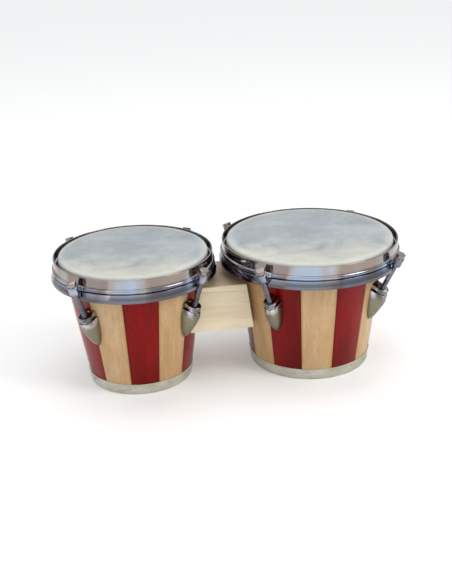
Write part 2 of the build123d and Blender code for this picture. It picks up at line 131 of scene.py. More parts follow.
class Drum:
    """One drum's own sizes. Angles are about its axis, from +X towards +Y."""

    def __init__(self, name, rim, foot, waist, staves, red_when_odd, block_angle, lug_turn, lap_angle):
        low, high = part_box(name + "_rim")
        self.name = name
        self.x = (low.x + high.x) / 2 / MM
        self.rim = rim
        self.foot = foot
        self.waist = waist
        self.mouth = rim - MOUTH_INSET
        self.staves = staves
        self.red_when_odd = red_when_odd
        self.block_angle = block_angle
        self.lug_angles = [lug_turn - 135 + 90 * i for i in range(4)]
        self.lap_angle = lap_angle
        self.taper = (waist - foot) / FLARE_START
        self.wire_radius = rim - WIRE_INSET
        self.collar_radius = self.outside(COLLAR_HEIGHT) + COLLAR_STAND_OFF
        self.slant = atan2(rim + BOLT_STAND_OFF - self.collar_radius, HOOP_HEIGHT - COLLAR_HEIGHT)
        self.lean = atan2(waist - foot, FLARE_START)
        self.place = Matrix.Translation((self.x * MM, 0, 0))

    def outside(self, height):
        return self.foot + self.taper * height

    def bolt_radius(self, height):
        return self.collar_radius + (height - COLLAR_HEIGHT) * tan(self.slant)

    def bolt_frame(self, height):
        """Frame on the bolt's axis, its Z along the axis towards the head."""
        along = Vector((sin(self.slant), 0, cos(self.slant)))
        return frame_matrix(Vector((self.bolt_radius(height), 0, height)), Vector((0, 1, 0)), along)

    def wall_frame(self, height):
        """Frame on the shell's outside, its Z square to the wall and outwards."""
        out = Vector((cos(self.lean), 0, -sin(self.lean)))
        return frame_matrix(Vector((self.outside(height), 0, height)), Vector((0, 1, 0)), out)

    def turned(self, angle):
        """Places a part made at angle 0 about the drum's axis."""
        return self.place @ spin(angle)


def spin(angle):
    """Turn about +Z, in degrees."""
    return Matrix.Rotation(radians(angle), 4, "Z")


def from_axis(point):
    return sqrt(point.x * point.x + point.y * point.y)


def frame_matrix(origin, x_axis, z_axis):
    y_axis = z_axis.cross(x_axis)
    matrix = Matrix((x_axis, y_axis, z_axis)).transposed().to_4x4()
    matrix.translation = origin
    return matrix


SMALL = Drum("small", 93.0, 61.2, 79.6, 12, True, 0.0, 0.0, -64.0)
LARGE = Drum("large", 105.5, 72.3, 88.0, 13, False, 180.0, 3.0, 75.0)


# ---- Outlines and meshes -----------------------------------------------------------------------
def arc(centre, radius, start, end, steps):
    """Points on an arc in a section, angles in degrees from the first axis."""
    made = []
    for i in range(steps + 1):
        angle = radians(start + (end - start) * i / steps)
        made.append((centre[0] + radius * cos(angle), centre[1] + radius * sin(angle)))
    return made


def rounded(corners, steps=5):
    """Closed outline from (x, y, radius) corners."""
    outline = []
    for i, (x, y, radius) in enumerate(corners):
        here = Vector((x, y))
        before = Vector(corners[i - 1][:2]) - here
        after = Vector(corners[(i + 1) % len(corners)][:2]) - here
        reach = radius / tan(before.angle(after) / 2)
        start = here + before.normalized() * reach
        end = here + after.normalized() * reach
        for step in range(steps + 1 if radius else 1):
            t = step / steps
            point = start * (1 - t) ** 2 + here * 2 * t * (1 - t) + end * t * t
            outline.append((point.x, point.y))
    return outline


def grid_faces(rows, columns, rows_close, columns_close):
    """Quads over a grid of points that is stored row by row."""
    faces = []
    for i in range(rows if rows_close else rows - 1):
        for j in range(columns if columns_close else columns - 1):
            next_i = (i + 1) % rows
            next_j = (j + 1) % columns
            faces.append((i * columns + j, next_i * columns + j,
                          next_i * columns + next_j, i * columns + next_j))
    return faces


def lathe(outline, steps=RINGS, closed=True):
    """Ring turned from an outline of (radius, height); an open one starts and ends on the axis."""
    points = []
    for i in range(steps):
        angle = tau * i / steps
        points += [Vector((r * cos(angle), r * sin(angle), z)) for r, z in outline]
    return points, grid_faces(steps, len(outline), True, closed)


def plug(radius, low, high, steps):
    """Solid round bar along Z."""
    return lathe([(0, low), (radius, low), (radius, high), (0, high)], steps, closed=False)


def bar_faces(rows, columns):
    """Closed surface over rows of closed sections, with a cap on each end."""
    faces = grid_faces(rows, columns, False, True)
    faces.append(tuple(range(columns)))
    faces.append(tuple(range((rows - 1) * columns, rows * columns)))
    return faces


def shell_faces(rows, columns):
    """Closed surface over a front grid of points and the back grid that follows it."""
    count = rows * columns
    faces = grid_faces(rows, columns, False, False)
    faces += [tuple(count + i for i in face) for face in faces]
    edge = list(range(columns))
    edge += [row * columns + columns - 1 for row in range(1, rows)]
    edge += [(rows - 1) * columns + i for i in range(columns - 2, -1, -1)]
    edge += [row * columns for row in range(rows - 2, 0, -1)]
    for here, there in zip(edge, edge[1:] + edge[:1]):
        faces.append((here, there, count + there, count + here))
    return faces


def prism(outline, low, high):
    """Outline of (x, y) raised from low to high."""
    rings = [[Vector((x, y, h)) for x, y in outline] for h in (low, high)]
    return rings[0] + rings[1], bar_faces(2, len(outline))


def moved(shape, matrix):
    points, faces = shape
    return [matrix @ p for p in points], faces


def together(shapes):
    """Several shapes as one."""
    points = []
    faces = []
    for more_points, more_faces in shapes:
        start = len(points)
        points += more_points
        faces += [tuple(start + i for i in face) for face in more_faces]
    return points, faces


def to_mesh(name, shape, sharp=32.0):
    """Closed mesh in metres, with its normals outwards."""
    points, faces = shape
    mesh = bpy.data.meshes.new(name)
    mesh.from_pydata([p * MM for p in points], [], faces)
    work = bmesh.new()
    work.from_mesh(mesh)
    bmesh.ops.remove_doubles(work, verts=work.verts, dist=0.002 * MM)
    bmesh.ops.recalc_face_normals(work, faces=work.faces)
    work.to_mesh(mesh)
    work.free()
    shade(mesh, sharp)
    return mesh


def shade(mesh, sharp):
    mesh.polygons.foreach_set("use_smooth", [True] * len(mesh.polygons))
    mesh.set_sharp_from_angle(angle=radians(sharp))


def with_modifiers(mesh, add_modifiers, sharp=32.0):
    """The mesh that the modifiers make, with none of them left."""
    holder = bpy.data.objects.new("holder", mesh)
    bpy.context.scene.collection.objects.link(holder)
    add_modifiers(holder)
    seen = holder.evaluated_get(bpy.context.evaluated_depsgraph_get())
    made = bpy.data.meshes.new_from_object(seen)
    made.name = mesh.name
    bpy.data.objects.remove(holder)
    shade(made, sharp)
    return made


def carve(mesh, cutter_shape, sharp=30.0):
    """The mesh with a closed shape cut out of it."""
    cutter = bpy.data.objects.new("cutter", to_mesh("cutter", cutter_shape))
    bpy.context.scene.collection.objects.link(cutter)

    def cut(holder):
        boolean = holder.modifiers.new("cut", "BOOLEAN")
        boolean.operation = "DIFFERENCE"
        boolean.solver = "EXACT"
        boolean.object = cutter
    made = with_modifiers(mesh, cut, sharp)
    bpy.data.objects.remove(cutter)
    return made


def cast(name, shapes, voxel, fair):
    """Shapes melted into one casting: remeshed together, then faired."""
    def melt(holder):
        remesh = holder.modifiers.new("melt", "REMESH")
        remesh.mode = "VOXEL"
        remesh.voxel_size = voxel * MM
        smooth = holder.modifiers.new("fair", "SMOOTH")
        smooth.factor = 0.5
        smooth.iterations = fair
    return with_modifiers(to_mesh(name, together(shapes)), melt, 180.0)


def set_points(mesh, name, function):
    """Stores a vector on every vertex, worked out from its place in millimetres."""
    layer = mesh.attributes.new(name, "FLOAT_VECTOR", "POINT")
    for vertex, item in zip(mesh.vertices, layer.data):
        item.vector = function(vertex.co / MM)


def piece(name, mesh, finish, body, nodes, matrix=None):
    """A visible piece that rides on a CAD body and stands for CAD nodes."""
    obj = bpy.data.objects.new(name, mesh)
    bpy.context.scene.collection.objects.link(obj)
    if matrix is not None:
        obj.matrix_world = matrix
    if not mesh.materials:
        mesh.materials.append(FINISHES[finish][0])
    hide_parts(*nodes)
    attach(obj, body)


# ---- Materials ---------------------------------------------------------------------------------
def rgb(red, green, blue):
    return (red, green, blue, 1.0)


class Graph:
    """One material's nodes."""

    def __init__(self, name):
        self.material = bpy.data.materials.new(name)
        self.material.use_nodes = True
        self.tree = self.material.node_tree
        self.shader = self.tree.nodes["Principled BSDF"]

    def feed(self, socket, value):
        """Links an output, and sets anything else on the socket itself."""
        if isinstance(value, bpy.types.NodeSocket):
            self.tree.links.new(value, socket)
        else:
            socket.default_value = value

    def node(self, kind, inputs=None, **settings):
        made = self.tree.nodes.new(kind)
        for key, value in settings.items():
            setattr(made, key, value)
        for key, value in (inputs or {}).items():
            self.feed(made.inputs[key], value)
        return made

    def attribute(self, name):
        return self.node("ShaderNodeAttribute", attribute_name=name).outputs["Vector"]

    def object_place(self):
        return self.node("ShaderNodeTexCoord").outputs["Object"]

    def parts(self, vector):
        return self.node("ShaderNodeSeparateXYZ", {"Vector": vector}).outputs

    def scaled(self, vector, x, y, z):
        return self.node("ShaderNodeMapping", {"Vector": vector, "Scale": (x, y, z)}).outputs["Vector"]

    def noise(self, vector, scale, detail=3.0, roughness=0.5, distortion=0.0):
        settings = {"Vector": vector, "Scale": scale, "Detail": detail,
                    "Roughness": roughness, "Distortion": distortion}
        return self.node("ShaderNodeTexNoise", settings).outputs[0]

    def ramp(self, factor, *stops):
        """Colours by position, for a factor from 0 to 1."""
        node = self.node("ShaderNodeValToRGB", {"Fac": factor})
        elements = node.color_ramp.elements
        elements[0].position, elements[0].color = stops[0]
        elements[1].position, elements[1].color = stops[-1]
        for position, colour in stops[1:-1]:
            elements.new(position).color = colour
        return node.outputs["Color"]

    def grey(self, factor, *stops):
        return self.ramp(factor, *[(position, rgb(value, value, value)) for position, value in stops])

    def mix(self, factor, first, second):
        node = self.node("ShaderNodeMix", data_type="RGBA", blend_type="MIX")
        self.feed(node.inputs[0], factor)
        self.feed(node.inputs[6], first)
        self.feed(node.inputs[7], second)
        return node.outputs[2]

    def math(self, operation, first, second=0.0):
        node = self.node("ShaderNodeMath", operation=operation)
        self.feed(node.inputs[0], first)
        self.feed(node.inputs[1], second)
        return node.outputs[0]

    def bump(self, height, distance, below=None):
        node = self.node("ShaderNodeBump", {"Height": height, "Distance": distance * MM})
        if below is not None:
            self.feed(node.inputs["Normal"], below)
        return node.outputs["Normal"]

    def finish(self, **sockets):
        names = {"colour": "Base Color", "metallic": "Metallic", "roughness": "Roughness",
                 "normal": "Normal", "specular": "Specular IOR Level", "specular_tint": "Specular Tint",
                 "coat": "Coat Weight", "coat_roughness": "Coat Roughness",
                 "subsurface": "Subsurface Weight", "subsurface_scale": "Subsurface Scale"}
        for key, value in sockets.items():
            self.feed(self.shader.inputs[names[key]], value)
        return self.material


def stave_wood(name, dark, middle, light, streak, joint, roughness, sheen):
    """Lacquered stave. Its grain runs up the stave, and each stave has its own tone."""
    g = Graph(name)
    grain = g.attribute("grain")
    tone = g.parts(g.attribute("tone"))
    wander = g.noise(g.scaled(grain, 1, 1, 0.3), 30, 2)
    broad = g.noise(g.scaled(grain, 1, 1, 0.12), 55, 3, 0.55, 0.6)
    fine = g.noise(g.scaled(grain, 1, 1, 0.025), 950, 4, 0.6)
    blend = g.math("ADD", g.math("MULTIPLY", broad, 0.65), g.math("MULTIPLY", fine, 0.35))
    blend = g.math("ADD", blend, tone[0])
    colour = g.ramp(blend, (0.34, dark), (0.5, middle), (0.68, light))
    rings = g.noise(g.scaled(grain, 1, 1, 0.04), 210, 2, 0.5, 1.6)
    colour = g.mix(g.grey(rings, (0.50, 0.0), (0.62, 0.4), (0.72, 0.0)), colour, streak)
    flecks = g.noise(g.scaled(grain, 1, 1, 0.05), 1500, 2, 0.4)
    colour = g.mix(g.grey(flecks, (0.64, 0.0), (0.76, 0.3)), colour, streak)
    # Darker towards the foot of each stave, in patches.
    worn = g.grey(wander, (0.35, 0.2), (0.7, 1.0))
    darker_towards_foot = g.math("MULTIPLY", g.grey(tone[2], (0.05, 0.75), (0.45, 0.0)), worn)
    colour = g.mix(darker_towards_foot, colour, joint)
    colour = g.mix(g.grey(tone[1], (0.86, 0.0), (0.995, 0.8)), colour, joint)
    scuffs = g.noise(g.scaled(grain, 3, 1, 0.5), 160, 6, 0.75, 0.3)
    rough = g.grey(scuffs, (0.42, roughness), (0.66, roughness + 0.16))
    normal = g.bump(fine, 0.035)
    normal = g.bump(broad, 0.12, normal)
    return g.finish(colour=colour, roughness=rough, normal=normal, specular=0.25, specular_tint=sheen,
                    coat=0.2, coat_roughness=0.1)


def red_lacquer():
    return stave_wood("red_lacquer", rgb(0.105, 0.0006, 0.001), rgb(0.185, 0.001, 0.0014),
                      rgb(0.235, 0.0022, 0.002), rgb(0.085, 0.0006, 0.001), rgb(0.05, 0.001, 0.001),
                      0.3, rgb(0.8, 0.12, 0.1))


def natural_wood():
    return stave_wood("natural_wood", rgb(0.40, 0.235, 0.10), rgb(0.50, 0.325, 0.165),
                      rgb(0.57, 0.40, 0.23), rgb(0.39, 0.225, 0.09), rgb(0.36, 0.19, 0.055),
                      0.32, rgb(1.0, 0.95, 0.85))


def block_wood():
    """Pale bare wood, grain along the block, darker and browner in patches on its top faces."""
    g = Graph("block_wood")
    place = g.object_place()
    broad = g.noise(g.scaled(place, 0.12, 1, 1), 60, 3, 0.55, 0.7)
    fine = g.noise(g.scaled(place, 0.03, 1, 1), 900, 4, 0.6)
    blend = g.math("ADD", g.math("MULTIPLY", broad, 0.6), g.math("MULTIPLY", fine, 0.4))
    colour = g.ramp(blend, (0.32, rgb(0.70, 0.56, 0.355)), (0.5, rgb(0.76, 0.64, 0.435)),
                    (0.7, rgb(0.80, 0.70, 0.50)))
    rings = g.noise(g.scaled(place, 0.05, 1, 1), 240, 2, 0.5, 1.2)
    colour = g.mix(g.grey(rings, (0.5, 0.0), (0.62, 0.3), (0.7, 0.0)), colour, rgb(0.56, 0.44, 0.28))
    up = g.parts(g.node("ShaderNodeNewGeometry").outputs["Normal"])[2]
    blotches = g.noise(place, 45, 5, 0.65)
    # Top faces are darker and browner, in patches.
    top = g.math("MULTIPLY", g.grey(up, (0.6, 0.0), (0.95, 0.9)), g.grey(blotches, (0.3, 0.55), (0.65, 1.0)))
    colour = g.mix(top, colour, rgb(0.52, 0.37, 0.22))
    rough = g.grey(blotches, (0.3, 0.42), (0.7, 0.6))
    return g.finish(colour=colour, roughness=rough, normal=g.bump(fine, 0.06), coat=0.15, coat_roughness=0.3)


def rawhide():
    """Scraped hide: cloudy blue-grey, cream where it is thin, with a web of faint fibres."""
    g = Graph("rawhide")
    place = g.object_place()
    tone = g.parts(g.attribute("tone"))
    clouds = g.noise(place, 16, 5, 0.6, 0.5)
    mottle = g.noise(place, 70, 4, 0.6)
    fibres = g.noise(g.scaled(place, 1, 0.3, 1), 420, 5, 0.7, 0.9)
    colour = g.ramp(clouds, (0.34, rgb(0.235, 0.262, 0.283)), (0.5, rgb(0.288, 0.315, 0.332)),
                    (0.68, rgb(0.36, 0.38, 0.385)))
    cream = g.math("ADD", tone[2], g.math("MULTIPLY", g.math("SUBTRACT", clouds, 0.5), 0.9))
    colour = g.mix(g.grey(cream, (0.60, 0.0), (0.90, 0.8)), colour, rgb(0.51, 0.50, 0.41))
    colour = g.mix(g.grey(tone[1], (0.90, 0.0), (0.99, 0.45)), colour, rgb(0.56, 0.58, 0.54))
    colour = g.mix(g.grey(mottle, (0.5, 0.0), (0.75, 0.22)), colour, rgb(0.27, 0.28, 0.26))
    colour = g.mix(g.grey(fibres, (0.56, 0.0), (0.7, 0.2)), colour, rgb(0.50, 0.51, 0.49))
    rough = g.grey(mottle, (0.35, 0.38), (0.7, 0.58))
    normal = g.bump(mottle, 0.12)
    normal = g.bump(fibres, 0.04, normal)
    return g.finish(colour=colour, roughness=rough, normal=normal, subsurface=0.08, subsurface_scale=0.004)


def chrome():
    """Old plating, its colour painted with reflections: silver-blue, soft brown and dark patches, a painted
    tan reflection on the upper band and a painted dark reflection below the wire; real handling smears and
    pits.
    """
    g = Graph("chrome")
    place = g.object_place()
    waves = g.noise(place, 55, 2)
    reflection_patches = g.noise(g.scaled(place, 1, 1, 0.25), 17, 3, 0.5)
    smears = g.noise(g.scaled(place, 1, 1, 2.5), 60, 5, 0.65, 0.8)
    pits = g.noise(place, 1300, 2, 0.4)
    # Painted reflection: silver-blue, brown and dark patches in the base colour stand in for surroundings to
    # mirror.
    colour = g.ramp(reflection_patches, (0.38, rgb(0.37, 0.44, 0.56)), (0.46, rgb(0.38, 0.36, 0.36)),
                    (0.53, rgb(0.15, 0.13, 0.135)), (0.60, rgb(0.18, 0.21, 0.28)),
                    (0.66, rgb(0.38, 0.43, 0.52)))
    colour = g.mix(g.grey(smears, (0.45, 0.0), (0.65, 0.2)), colour, rgb(0.30, 0.28, 0.28))
    height = g.parts(place)[2]
    # Painted reflection: tan patches on the rim's upper band, above the wire.
    band = g.grey(height, (0.1464, 0.0), (0.1474, 0.75))
    painted_tan_reflection = g.math("MULTIPLY", band, g.grey(reflection_patches, (0.42, 0.0), (0.50, 1.0)))
    colour = g.mix(painted_tan_reflection, colour, rgb(0.30, 0.235, 0.19))
    # Painted dark reflection: chrome below the ledge, about 140 mm up (the skirt, the ears' lower ends, the
    # bolts' shanks), is darkened.
    low = g.grey(height, (0.1385, 0.72), (0.1402, 0.0))
    colour = g.mix(low, colour, rgb(0.09, 0.085, 0.10))
    colour = g.mix(g.grey(pits, (0.72, 0.0), (0.8, 0.6)), colour, rgb(0.14, 0.12, 0.1))
    rough = g.grey(smears, (0.4, 0.06), (0.7, 0.15))
    return g.finish(colour=colour, metallic=1.0, roughness=rough, normal=g.bump(waves, 0.012))


def lug_chrome():
    """Cast and plated lug: painted reflections in pale, brown and dark patches over its plating, and a dull
    olive hood.
    """
    g = Graph("lug_chrome")
    place = g.object_place()
    tone = g.parts(g.attribute("tone"))
    waves = g.noise(place, 120, 3)
    blotches = g.noise(place, 190, 5, 0.65)
    # Painted reflection: the ripple noise also colours the plating in pale, brown and dark patches.
    colour = g.ramp(waves, (0.38, rgb(0.56, 0.58, 0.62)), (0.5, rgb(0.30, 0.28, 0.27)),
                    (0.62, rgb(0.13, 0.12, 0.12)))
    dull = g.math("MULTIPLY", tone[1], g.grey(blotches, (0.3, 0.85), (0.6, 1.0)))
    colour = g.mix(dull, colour, rgb(0.245, 0.23, 0.16))
    rough = g.math("ADD", g.grey(blotches, (0.4, 0.08), (0.7, 0.16)), g.math("MULTIPLY", dull, 0.24))
    return g.finish(colour=colour, metallic=1.0, roughness=rough, normal=g.bump(waves, 0.03))


def band_metal():
    """Plated strip gone dull: drawn lines round the foot, scratches and tarnish."""
    g = Graph("band_metal")
    tone = g.attribute("grain")
    drawn = g.noise(g.scaled(tone, 0.02, 1, 1), 1500, 3, 0.6)
    tarnish = g.noise(g.scaled(tone, 0.4, 1, 1), 60, 5, 0.7)
    scratch = g.noise(g.scaled(tone, 0.15, 1, 1), 420, 2, 0.4, 2.0)
    colour = g.ramp(tarnish, (0.3, rgb(0.33, 0.31, 0.24)), (0.5, rgb(0.46, 0.44, 0.36)),
                    (0.72, rgb(0.58, 0.57, 0.51)))
    colour = g.mix(g.grey(scratch, (0.66, 0.0), (0.72, 0.5)), colour, rgb(0.7, 0.69, 0.62))
    rough = g.grey(tarnish, (0.3, 0.52), (0.7, 0.34))
    normal = g.bump(drawn, 0.02)
    normal = g.bump(tarnish, 0.1, normal)
    return g.finish(colour=colour, metallic=0.5, roughness=rough, normal=normal)


def steel():
    """Zinc-plated steel with soft grain and darker handling marks."""
    g = Graph("steel")
    place = g.object_place()
    grain = g.noise(place, 800, 3, 0.6)
    marks = g.noise(place, 120, 4, 0.6)
    colour = g.ramp(marks, (0.35, rgb(0.62, 0.62, 0.63)), (0.7, rgb(0.40, 0.39, 0.36)))
    rough = g.grey(marks, (0.35, 0.24), (0.7, 0.42))
    return g.finish(colour=colour, metallic=1.0, roughness=rough, normal=g.bump(grain, 0.02))


# Each finish: its material, and the record's slot.
FINISHES = {
    "red": (red_lacquer(), "red_lacquer"),
    "natural": (natural_wood(), "natural_wood"),
    "block": (block_wood(), "block_wood"),
    "rawhide": (rawhide(), "rawhide"),
    "chrome": (chrome(), "chrome"),
    "lug": (lug_chrome(), "chrome"),
    "band": (band_metal(), "band_metal"),
    "steel": (steel(), "steel"),
}


# ---- Shell -------------------------------------------------------------------------------------
def flare_points(drum, steps):
    """Arc that leaves the taper smoothly and ends at the mouth, under the bearing edge."""
    start = Vector((drum.waist, FLARE_START))
    end = Vector((drum.mouth, SHELL_HEIGHT - EDGE_ROUND))
    normal = Vector((cos(drum.lean), -sin(drum.lean)))
    chord = end - start
    radius = chord.length_squared / (2 * chord.dot(normal))
    centre = start + normal * radius
    first = atan2(start.y - centre.y, start.x - centre.x)
    last = atan2(end.y - centre.y, end.x - centre.x)
    return arc(centre, radius, degrees(first), degrees(last), steps)


def shell_outline(drum):
    """Closed section of the shell wall, with its long lines divided."""
    outside = [(drum.outside(z), z) for z in (0.4, 4, 14, 30, 46, 62, 78, 94, 110)]
    land = SHELL_HEIGHT - EDGE_ROUND
    edge = arc((drum.mouth - EDGE_ROUND, land), EDGE_ROUND, 0, 90, 5)
    inner_mouth = drum.mouth - WALL
    inner_waist = drum.waist - WALL
    inside = [(drum.mouth - EDGE_ROUND - EDGE_FLAT, SHELL_HEIGHT), (inner_mouth, SHELL_HEIGHT - EDGE_DEPTH),
              ((inner_mouth + inner_waist) / 2, (SHELL_HEIGHT - EDGE_DEPTH + FLARE_START) / 2),
              (inner_waist, FLARE_START), (drum.outside(80) - WALL, 80), (drum.outside(40) - WALL, 40),
              (drum.foot - WALL, 0.4), (drum.foot - WALL + 0.4, 0), (drum.foot - 0.4, 0)]
    return outside + flare_points(drum, 7) + edge[1:] + inside


def stave_mesh(name, drum, index, tone, grain_shift):
    """One stave with eased joints, its place in the grain kept on every vertex."""
    step = tau / drum.staves
    middle = radians(drum.block_angle) + index * step
    half_width = drum.waist * step / 2
    from_joint = (0.0, 0.15, 0.4, 1.0, 4.0, 9.0, 14.0)
    ease = (0.22, 0.08, 0.02, 0.0, 0.0, 0.0, 0.0)
    left = [(-half_width + d, e) for d, e in zip(from_joint, ease)]
    right = [(-across, e) for across, e in reversed(left)]
    outline = shell_outline(drum)
    centre_line = [drum.outside(z) - WALL / 2 + max(0.0, z - FLARE_START) * 0.25 for r, z in outline]
    points = []
    for across, eased in left + right:
        angle = across / half_width * step / 2
        for (r, z), core in zip(outline, centre_line):
            r += eased if r < core else -eased
            points.append(Vector((r * cos(angle), r * sin(angle), z)))
    columns = len(outline)
    rows = len(left) * 2
    mesh = to_mesh(name, (points, bar_faces(rows, columns)), 40.0)

    def grain(p):
        radius = from_axis(p)
        return Vector((atan2(p.y, p.x) * radius + grain_shift, radius, p.z + 3 * grain_shift)) * MM

    def look(p):
        closeness = abs(atan2(p.y, p.x)) / (step / 2)
        return Vector((tone, closeness, p.z / SHELL_HEIGHT))
    set_points(mesh, "grain", grain)
    set_points(mesh, "tone", look)
    return mesh, drum.turned(degrees(middle))


def make_staves(drum, chance):
    for i in range(drum.staves):
        red = (i % 2 == 1) == drum.red_when_odd
        tone = chance.uniform(-0.05, 0.05)
        name = f"{drum.name}_stave_{i + 1:02d}"
        mesh, matrix = stave_mesh(name, drum, i, tone, chance.uniform(0, 900))
        node = f"{drum.name}_{'red' if red else 'natural'}_staves"
        piece(name, mesh, "red" if red else "natural", "drums", [node], matrix)


# ---- Foot band and its tacks -------------------------------------------------------------------
def band_grain(p):
    return Vector((atan2(p.y, p.x) * 70, from_axis(p), p.z)) * MM


def lap_shape(drum):
    """The band's outer end, lapped over its start and cut on a slant."""
    rows = 14
    section = [(1.0, 0.6), (1.7, 0.9), (1.7, BAND_HEIGHT - 0.6), (1.0, BAND_HEIGHT - 0.3)]
    section = [(BAND_THICKNESS * out, z) for out, z in section]
    section.append((BAND_THICKNESS * 0.7, BAND_HEIGHT - 0.3))
    section.append((BAND_THICKNESS * 0.7, 0.6))
    points = []
    for row in range(rows):
        share = row / (rows - 1)
        for out, z in section:
            start = (2.0 - 0.577 * (z - BAND_HEIGHT / 2)) / drum.foot
            angle = start + (radians(BAND_LAP_ANGLE) - start) * share
            r = drum.outside(z) + out
            points.append(Vector((r * cos(angle), r * sin(angle), z)))
    return points, bar_faces(rows, len(section))


def make_foot_band(drum):
    high = BAND_HEIGHT
    section = rounded([(drum.foot, 0, 0.15), (drum.foot + BAND_THICKNESS, 0, 0.3),
                       (drum.outside(high) + BAND_THICKNESS, high, 0.3), (drum.outside(high), high, 0.15)])
    lap = moved(lap_shape(drum), spin(drum.lap_angle))
    mesh = to_mesh(f"{drum.name}_band", together([lathe(section), lap]), 40.0)
    set_points(mesh, "grain", band_grain)
    piece(f"{drum.name}_band", mesh, "band", "drums", [f"{drum.name}_foot_band"], drum.place)


def make_tacks(drum):
    """Domed tacks, each with its shank in the wood."""
    seat = 1.75 * BAND_THICKNESS
    dome = [(0, -3.0), (0.6, -2.6), (0.7, seat - 0.4), (1.5, seat - 0.35), (1.6, seat)]
    dome += [(1.6 * cos(radians(a)), seat + 0.7 * sin(radians(a))) for a in (20, 40, 60, 78)]
    dome.append((0, seat + 0.7))
    tack = moved(lathe(dome, 20, closed=False), drum.wall_frame(NAIL_HEIGHT))
    turns = [drum.lap_angle + i * 360.0 / NAIL_COUNT for i in range(NAIL_COUNT)]
    tacks = [moved(tack, spin(a)) for a in turns]
    mesh = to_mesh(f"{drum.name}_tacks", together(tacks), 50.0)
    piece(f"{drum.name}_tacks", mesh, "steel", "drums", [f"{drum.name}_band_nails"], drum.place)


# ---- Head --------------------------------------------------------------------------------------
def head_outline(drum):
    """Section of the skin from the middle of the top, over the edge, down the collar and back."""
    land = SHELL_HEIGHT - EDGE_ROUND
    centre = (drum.mouth - EDGE_ROUND, land)
    top = SHELL_HEIGHT + SKIN
    radii = [centre[0] * i / 26 for i in range(26)]
    outline = [(r, top) for r in radii]
    outline += arc(centre, EDGE_ROUND + SKIN, 90, 0, 8)
    outline += [(drum.mouth + SKIN, z) for z in (150, 144, 138, 133)]
    outer = drum.mouth + SKIN
    outline += [(outer, SKIN_END + 0.3), (outer - 0.3, SKIN_END), (drum.mouth, SKIN_END)]
    outline += [(drum.mouth, z) for z in (133, 138, 144, 150)]
    outline += arc(centre, EDGE_ROUND, 0, 90, 8)
    outline += [(r, SHELL_HEIGHT) for r in reversed(radii)]
    return outline


def make_head(drum):
    """Rawhide with a gentle unevenness in the top and soft pleats in the collar."""
    mesh = to_mesh(f"{drum.name}_head", lathe(head_outline(drum), 192, closed=False), 60.0)
    flat = drum.mouth - 9      # the sag fades out from here
    for vertex in mesh.vertices:
        p = vertex.co / MM
        radius = from_axis(p)
        if p.z > SHELL_HEIGHT - 0.1:
            fade = max(0.0, min(1.0, (flat - radius) / 25))
            dip = 0.22 + 0.22 * noise.noise(Vector((p.x / 28, p.y / 28, drum.x)))
            vertex.co.z -= dip * fade * MM
        elif p.z < SHELL_HEIGHT - EDGE_ROUND - 1:
            angle = atan2(p.y, p.x)
            pleat = 0.1 * noise.noise(Vector((cos(angle) * 9, sin(angle) * 9, drum.x)))
            vertex.co.x += pleat * cos(angle) * MM
            vertex.co.y += pleat * sin(angle) * MM

    def look(p):
        nearness = -(p.y + 0.25 * p.x) / drum.mouth
        return Vector((0, from_axis(p) / drum.mouth, 0.5 + 0.5 * nearness))
    set_points(mesh, "tone", look)
    nodes = [f"{drum.name}_head_skin", f"{drum.name}_skin_collar"]
    piece(f"{drum.name}_head", mesh, "rawhide", "drums", nodes, drum.place)


# ---- Rim, wire and ears ------------------------------------------------------------------------
def rim_outline(drum):
    """Closed section of the pressed rim: band, groove for the wire, ledge and skirt."""
    inside = drum.rim - RIM_WALL
    skirt = drum.rim + SKIRT_STEP
    wire = (drum.wire_radius, WIRE_HEIGHT)
    groove = WIRE / 2 + WIRE_ROOM
    edge = RIM_WALL * 0.49
    corners = [(inside, RIM_TOP, edge), (drum.rim, RIM_TOP, edge)]
    corners += [(r, z, 0) for r, z in arc(wire, groove, 78, 282, 16)]
    ledge = drum.rim + LEDGE_REACH
    corners += [(drum.rim, LEDGE + 0.3, 0), (ledge, LEDGE, 0.4), (skirt, SKIRT_TURN, 3.0)]
    corners += [(skirt, SKIRT_LOW, edge), (skirt - RIM_WALL, SKIRT_LOW, edge)]
    corners += [(skirt - RIM_WALL, SKIRT_TURN - 0.3, 2.5)]
    corners += [(ledge - RIM_WALL, LEDGE - RIM_WALL, 0)]
    corners += [(r, z, 0) for r, z in arc(wire, groove + RIM_WALL, 262, 102, 14)]
    return rounded(corners)


def make_rim(drum):
    """Counterhoop with its skirt notched for the tuning bolts, and the wire in its groove."""
    half = SLOT_WIDTH / 2
    near = drum.wire_radius
    far = drum.rim + 12
    mouth = [(near, -half), (far, -half), (far, half), (near, half)]
    slot = prism(mouth, SKIRT_LOW - 2, SLOT_TOP)
    slots = [moved(slot, spin(a)) for a in drum.lug_angles]
    mesh = carve(to_mesh(f"{drum.name}_counterhoop", lathe(rim_outline(drum))), together(slots), 50.0)
    body = f"{drum.name}_rim_group"
    piece(f"{drum.name}_counterhoop", mesh, "chrome", body, [f"{drum.name}_rim"], drum.place)
    wire = arc((drum.wire_radius, WIRE_HEIGHT), WIRE / 2, 0, 345, 23)
    mesh = to_mesh(f"{drum.name}_wire", lathe(wire), 60.0)
    piece(f"{drum.name}_wire", mesh, "chrome", body, [f"{drum.name}_rim_wire"], drum.place)


def wire_stub(drum, reach):
    """Short stretch of wire that the ear grows from, thinner towards its ends."""
    rows = 17
    sides = 24
    points = []
    for row in range(rows):
        share = 2 * row / (rows - 1) - 1
        angle = share * reach / drum.rim
        radius = WIRE / 2 + 1.0 - 1.4 * abs(share) ** 1.5
        for r, z in arc((drum.wire_radius, WIRE_HEIGHT), radius, 0, 345, sides - 1):
            points.append(Vector((r * cos(angle), r * sin(angle), z)))
    return points, bar_faces(rows, sides)


